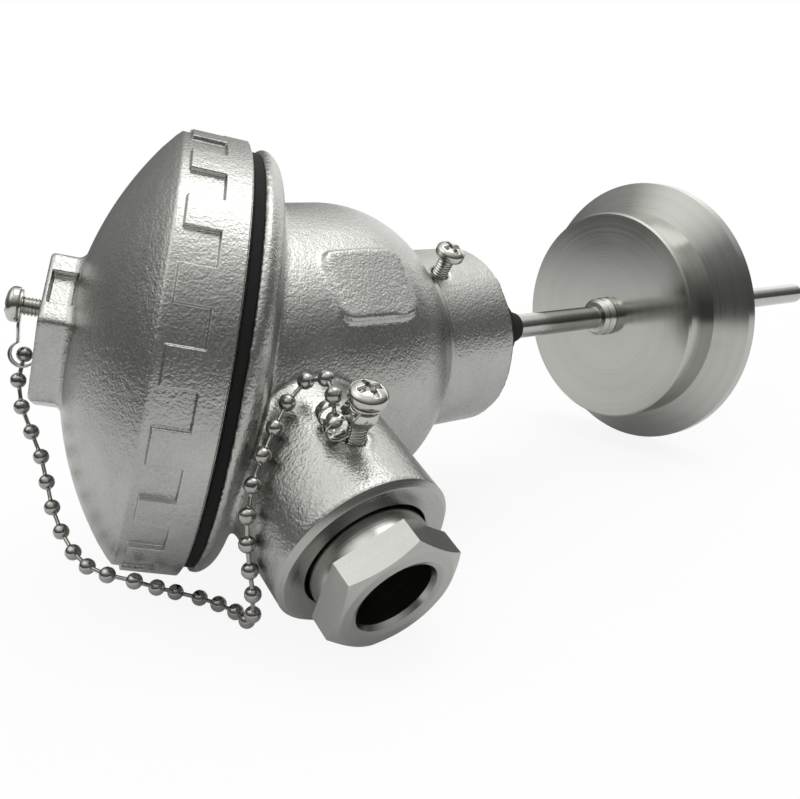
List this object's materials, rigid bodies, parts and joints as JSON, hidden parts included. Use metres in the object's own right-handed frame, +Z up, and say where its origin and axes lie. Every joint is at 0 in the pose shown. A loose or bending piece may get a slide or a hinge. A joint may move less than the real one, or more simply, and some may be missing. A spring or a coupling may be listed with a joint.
{
  "type": "temperature sensor",
  "caption": "Thin closed probe with a clamp ferrule, joined to a cast connection head with a chained screw cap and a cable gland.",
  "frame": {"origin": "on the bench, under the middle of the sensor's footprint as it lies at rest", "axes": "+X along the probe's run over the bench towards its tip, +Z up from the bench"},
  "size_m": [0.273, 0.118, 0.0941],
  "materials": {
    "cast_steel": "blasted cast stainless steel",
    "turned_steel": "fine turned stainless steel",
    "bright_steel": "polished stainless steel",
    "nickel": "nickel plated, glossy",
    "black_rubber": "matt black",
    "ceramic": "unglazed",
    "brass": "plain"
  },
  "bodies": {
    "sensor": {"head_body": "cast_steel", "entry_boss": "cast_steel", "gland_seal": "black_rubber", "neck_bushing": "black_rubber", "sheath": "bright_steel", "insulation": "ceramic", "sensing_element": "ceramic", "weld_bead": "bright_steel", "ferrule": "bright_steel", "insert_plate": "turned_steel", "terminal_block": "ceramic", "terminals": "brass", "terminal_screws": "nickel", "block_screws": "nickel", "block_springs": "nickel", "lead_wires": "nickel", "chain_balls": "nickel", "chain_links": "nickel"},
    "gasket": {"cap_gasket": "black_rubber"},
    "lid": {"cap": "cast_steel"},
    "lid_screw": {"cap_screw": "nickel"},
    "lid_clasp": {"cap_clasp": "nickel"},
    "gland_thrust": {"gland_washer": "turned_steel"},
    "gland": {"gland_nut": "turned_steel"},
    "boss_screw": {"conduit_screw": "nickel"},
    "boss_clasp": {"conduit_clasp": "nickel"},
    "neck_lock": {"neck_screw": "nickel"}
  },
  "joints": [
    {"name": "cap_lift", "type": "slide", "parent": "sensor", "child": "gasket", "axis": [-0.8921, 0.386, 0.2351], "range_m": [0, 0.009], "deforming": ["chain_balls", "chain_links"]},
    {"name": "cap_turn", "type": "hinge", "parent": "gasket", "child": "lid", "pos_m": [-0.0961, 0.01022, 0.0451], "axis": [-0.8921, 0.386, 0.2351], "range_deg": [0, 2160]},
    {"name": "cap_screw_turn", "type": "hinge", "parent": "lid", "child": "lid_screw", "pos_m": [-0.12802, 0.02489, 0.05811], "axis": [-0.8921, 0.386, 0.2351], "range_deg": [0, 720]},
    {"name": "cap_clasp_swing", "type": "hinge", "parent": "lid", "child": "lid_clasp", "pos_m": [-0.12802, 0.02489, 0.05811], "axis": [-0.8921, 0.386, 0.2351], "range_deg": [-2160, 0]},
    {"name": "gland_lift", "type": "slide", "parent": "sensor", "child": "gland_thrust", "axis": [-0.019, -0.8901, -0.4554], "range_m": [0, 0.006]},
    {"name": "gland_turn", "type": "hinge", "parent": "gland_thrust", "child": "gland", "pos_m": [-0.09526, -0.0439, 0.01733], "axis": [-0.019, -0.8901, -0.4554], "range_deg": [0, 1440]},
    {"name": "conduit_screw_turn", "type": "hinge", "parent": "sensor", "child": "boss_screw", "pos_m": [-0.09528, -0.04026, 0.03986], "axis": [-0.0152, -0.4552, 0.8903], "range_deg": [0, 720]},
    {"name": "conduit_clasp_swing", "type": "hinge", "parent": "sensor", "child": "boss_clasp", "pos_m": [-0.09528, -0.04026, 0.03986], "axis": [-0.0152, -0.4552, 0.8903], "range_deg": [-40, 40]},
    {"name": "neck_screw_turn", "type": "hinge", "parent": "sensor", "child": "neck_lock", "pos_m": [-0.04389, -0.003, 0.06103], "axis": [0.0345, -0.5609, 0.8272], "range_deg": [0, 720]}
  ],
  "couplings": [
    {"joint": "cap_lift", "follows": "cap_turn", "m_per_rad": 0.00023873},
    {"joint": "cap_clasp_swing", "follows": "cap_turn", "ratio": -1}
  ]
}
